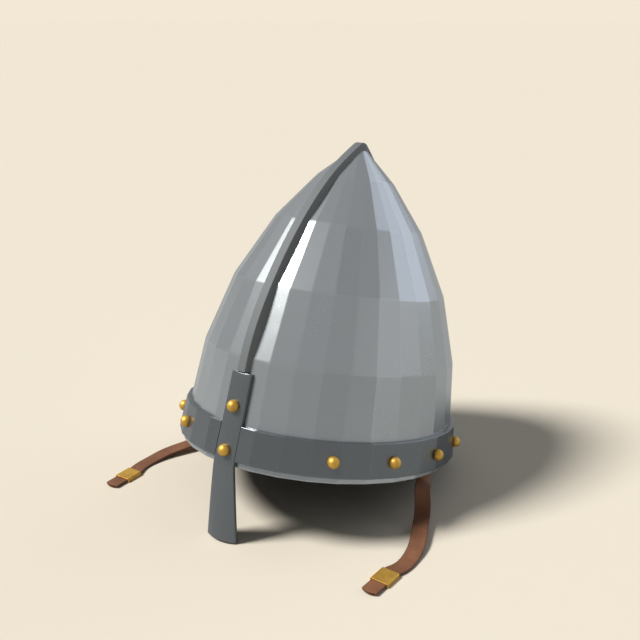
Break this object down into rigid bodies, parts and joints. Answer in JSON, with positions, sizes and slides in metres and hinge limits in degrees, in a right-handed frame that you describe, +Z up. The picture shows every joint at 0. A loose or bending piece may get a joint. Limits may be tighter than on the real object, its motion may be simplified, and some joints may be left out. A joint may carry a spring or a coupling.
{
  "type": "norman nasal helmet",
  "caption": "Conical faceted steel helmet with a crest strip, a riveted brow band, a nasal guard and loose leather chin straps with brass keepers, lying tipped back.",
  "frame": {"origin": "middle of the bounding box, on the surface that the helmet lies on", "axes": "+Z up from the surface, -Y towards the front where the nasal guard is, +X towards the wearer's left; the helmet is tipped back by 13.75 degrees about X"},
  "size_m": [0.258, 0.2534, 0.2585],
  "materials": {
    "light_steel": "forged and ground, satin",
    "dark_steel": "forged, darkened",
    "brass": "satin",
    "brown_leather": "waxed"
  },
  "bodies": {
    "root": {"skull": "light_steel", "crest_strip": "light_steel", "brow_band": "dark_steel", "nasal_guard": "dark_steel", "nasal_rivet_upper": "brass", "nasal_rivet_lower": "brass", "band_rivet_01": "brass", "band_rivet_02": "brass", "band_rivet_03": "brass", "band_rivet_04": "brass", "band_rivet_05": "brass", "band_rivet_06": "brass", "band_rivet_07": "brass", "band_rivet_08": "brass", "band_rivet_09": "brass", "band_rivet_10": "brass", "band_rivet_11": "brass", "band_rivet_12": "brass", "band_rivet_13": "brass", "chin_strap_left": "brown_leather", "chin_strap_right": "brown_leather", "strap_rivet_left": "brass", "strap_rivet_right": "brass", "strap_keeper_left": "brass", "strap_keeper_right": "brass"}
  },
  "joints": []
}
